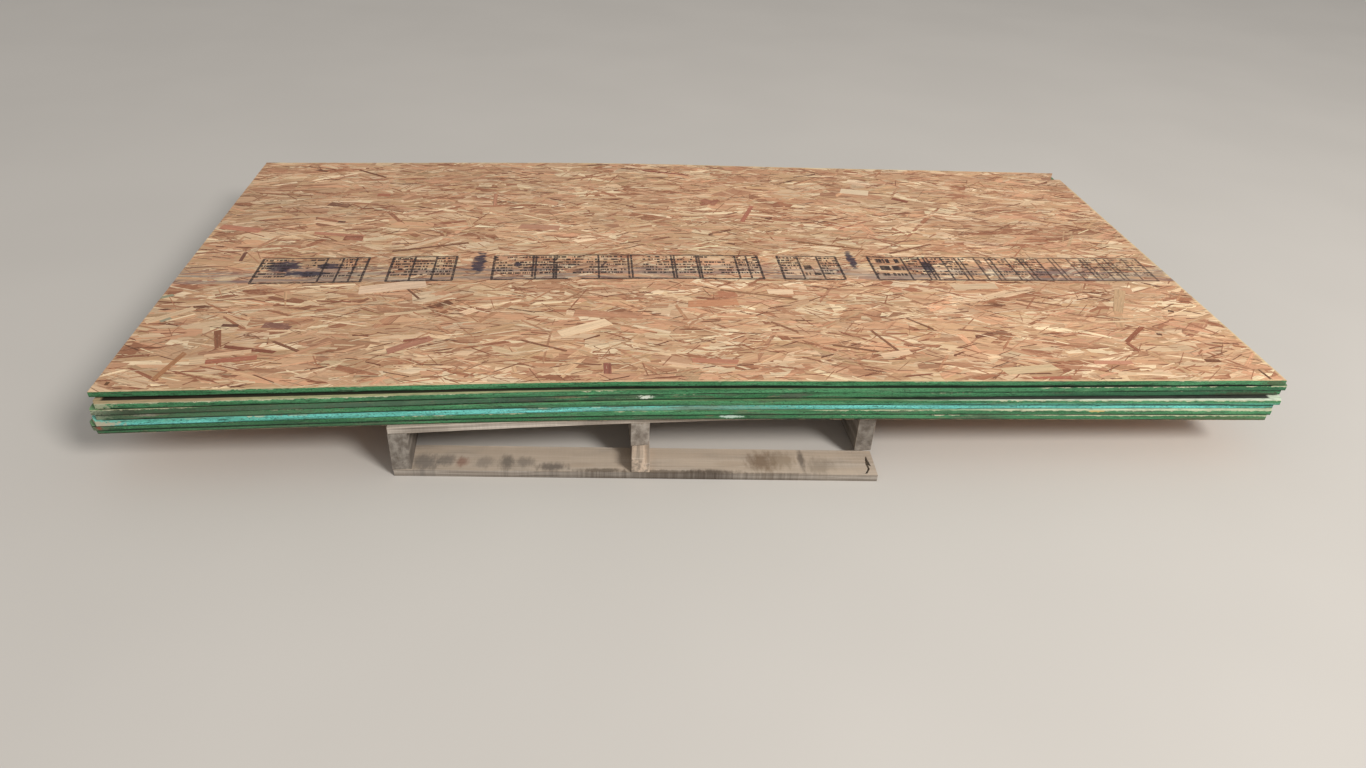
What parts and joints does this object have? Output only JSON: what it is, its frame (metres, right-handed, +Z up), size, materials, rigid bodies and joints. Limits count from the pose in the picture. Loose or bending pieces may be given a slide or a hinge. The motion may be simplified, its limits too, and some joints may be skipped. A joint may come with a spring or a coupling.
{
  "type": "stack of osb panels",
  "caption": "Stack of flat oriented strand board sheets with painted edges, sagging a little over the sides of a worn timber pallet with a loose front bottom board.",
  "frame": {"origin": "middle of the whole outline in plan, on the floor under the pallet", "axes": "+X along the long side of the sheets, +Y away from the front edge with the loose bottom board, +Z up"},
  "size_m": [2.462, 1.3036, 0.2068],
  "materials": {
    "strand_board": "pressed strands, painted edges",
    "strand_board_blue_edge": "pressed strands, painted edges",
    "pallet_board": "rough sawn, weathered, dusty",
    "pallet_stringer": "rough sawn, weathered"
  },
  "bodies": {
    "root": {"osb_sheet_1": "strand_board", "osb_sheet_2": "strand_board", "osb_sheet_3": "strand_board", "osb_sheet_4": "strand_board", "osb_sheet_5": "strand_board_blue_edge", "osb_sheet_6": "strand_board", "osb_sheet_7": "strand_board", "top_board_1": "pallet_board", "top_board_2": "pallet_board", "top_board_3": "pallet_board", "top_board_4": "pallet_board", "top_board_5": "pallet_board", "top_board_6": "pallet_board", "top_board_7": "pallet_board", "bottom_board_front": "pallet_board", "bottom_board_inner_1": "pallet_board", "bottom_board_inner_2": "pallet_board", "bottom_board_inner_3": "pallet_board", "bottom_board_back": "pallet_board", "stringer_left": "pallet_stringer", "stringer_middle": "pallet_stringer", "stringer_right": "pallet_stringer", "stringer_foot_split": "pallet_stringer"}
  },
  "joints": []
}
